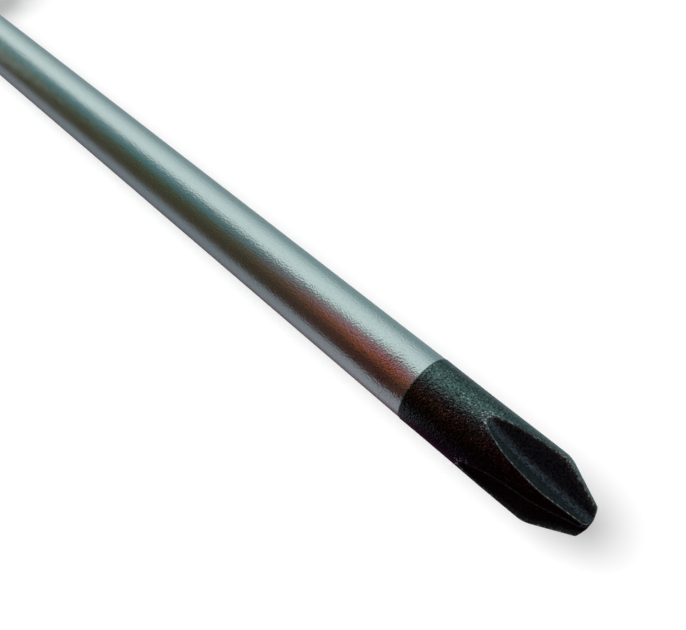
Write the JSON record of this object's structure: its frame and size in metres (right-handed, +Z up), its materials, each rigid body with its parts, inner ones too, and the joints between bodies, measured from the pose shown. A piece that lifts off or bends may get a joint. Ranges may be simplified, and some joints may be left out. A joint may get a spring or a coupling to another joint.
{
  "type": "cross-head screwdriver",
  "caption": "Hand screwdriver: round plated steel blade with a blackened, cross-fluted point, moulded into a hexagonal handle with an anti-roll flange and soft grip pads.",
  "frame": {"origin": "middle of the tool's length, on the surface that it lies on", "axes": "+X along the blade and out of the point, +Z up with one flat of the handle's flange down, so the blade lies level"},
  "size_m": [0.2328, 0.031, 0.028],
  "materials": {
    "blade_steel": "satin plating with fine orange peel; the point end is blackened",
    "core_plastic": "fine moulded grain",
    "shell_plastic": "satin moulded plastic",
    "soft_grip": "matt soft elastomer",
    "cap_plastic": "satin moulded plastic"
  },
  "bodies": {
    "root": {"blade": "blade_steel", "inner_core": "core_plastic", "handle_shell": "shell_plastic", "finger_sleeve": "soft_grip", "grip_pad_1": "soft_grip", "grip_pad_2": "soft_grip", "grip_pad_3": "soft_grip", "grip_pad_4": "soft_grip", "grip_pad_5": "soft_grip", "grip_pad_6": "soft_grip", "end_cap": "cap_plastic"}
  },
  "joints": []
}
